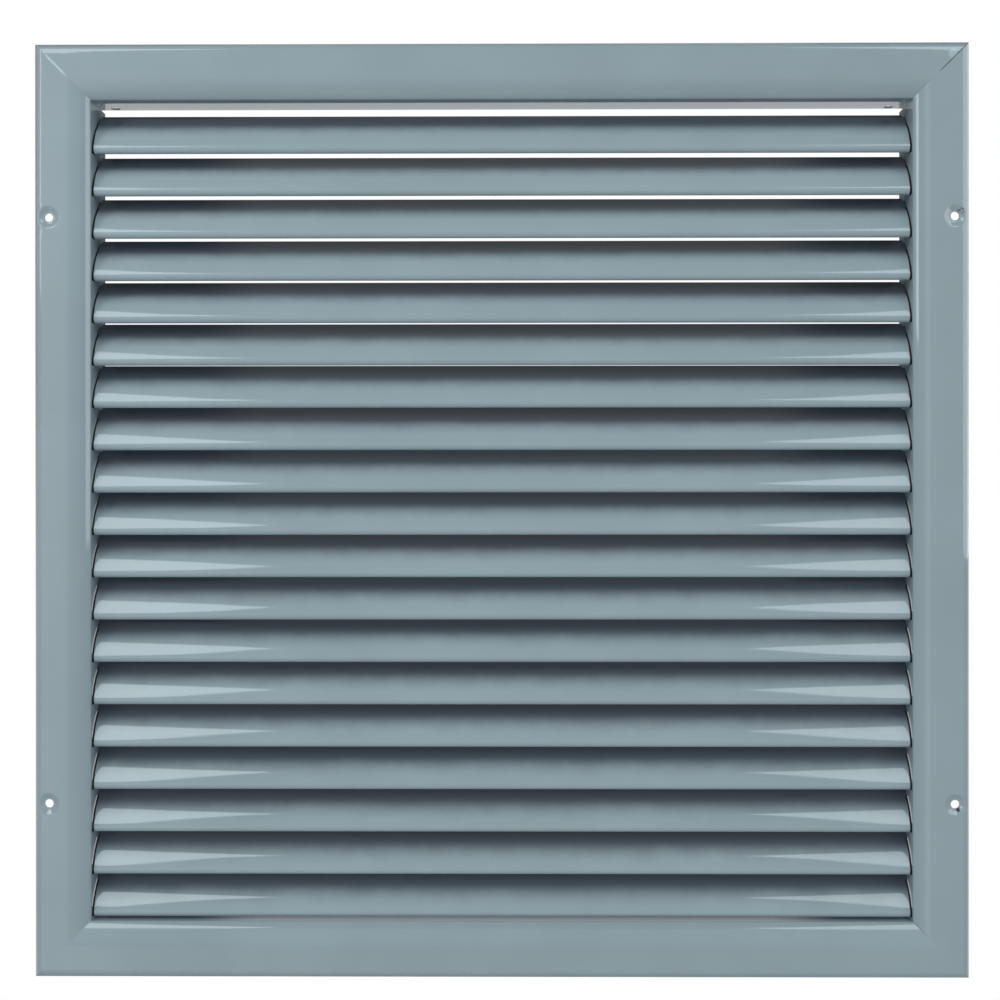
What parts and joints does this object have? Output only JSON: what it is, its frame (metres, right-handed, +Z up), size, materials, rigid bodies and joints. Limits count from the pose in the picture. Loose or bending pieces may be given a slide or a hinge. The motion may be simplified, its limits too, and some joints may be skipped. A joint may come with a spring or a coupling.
{
  "type": "ventilation grille",
  "caption": "Square wall ventilation grille with a mitred frame, a neck for the wall opening and fixed curved blades, painted grey-blue, fixed by screws through dimpled holes.",
  "frame": {"origin": "centre of the grille on the wall plane that the rim of the frame rests on", "axes": "+Z up, +X to the right seen from the room, +Y into the wall, so the front faces -Y"},
  "size_m": [0.55, 0.041, 0.55],
  "materials": {
    "frame_paint": "glossy grey-blue baked paint on sheet metal",
    "blade_paint": "glossy grey-blue baked paint on sheet metal",
    "plate_paint": "grey-blue baked paint on sheet metal, thinner behind the face"
  },
  "bodies": {
    "root": {"frame_top": "frame_paint", "frame_bottom": "frame_paint", "frame_left": "frame_paint", "frame_right": "frame_paint", "blade_01": "blade_paint", "blade_02": "blade_paint", "blade_03": "blade_paint", "blade_04": "blade_paint", "blade_05": "blade_paint", "blade_06": "blade_paint", "blade_07": "blade_paint", "blade_08": "blade_paint", "blade_09": "blade_paint", "blade_10": "blade_paint", "blade_11": "blade_paint", "blade_12": "blade_paint", "blade_13": "blade_paint", "blade_14": "blade_paint", "blade_15": "blade_paint", "blade_16": "blade_paint", "blade_17": "blade_paint", "blade_18": "blade_paint", "blade_19": "blade_paint", "corner_plate_top_left": "plate_paint", "corner_plate_top_right": "plate_paint", "corner_plate_bottom_left": "plate_paint", "corner_plate_bottom_right": "plate_paint"}
  },
  "joints": []
}
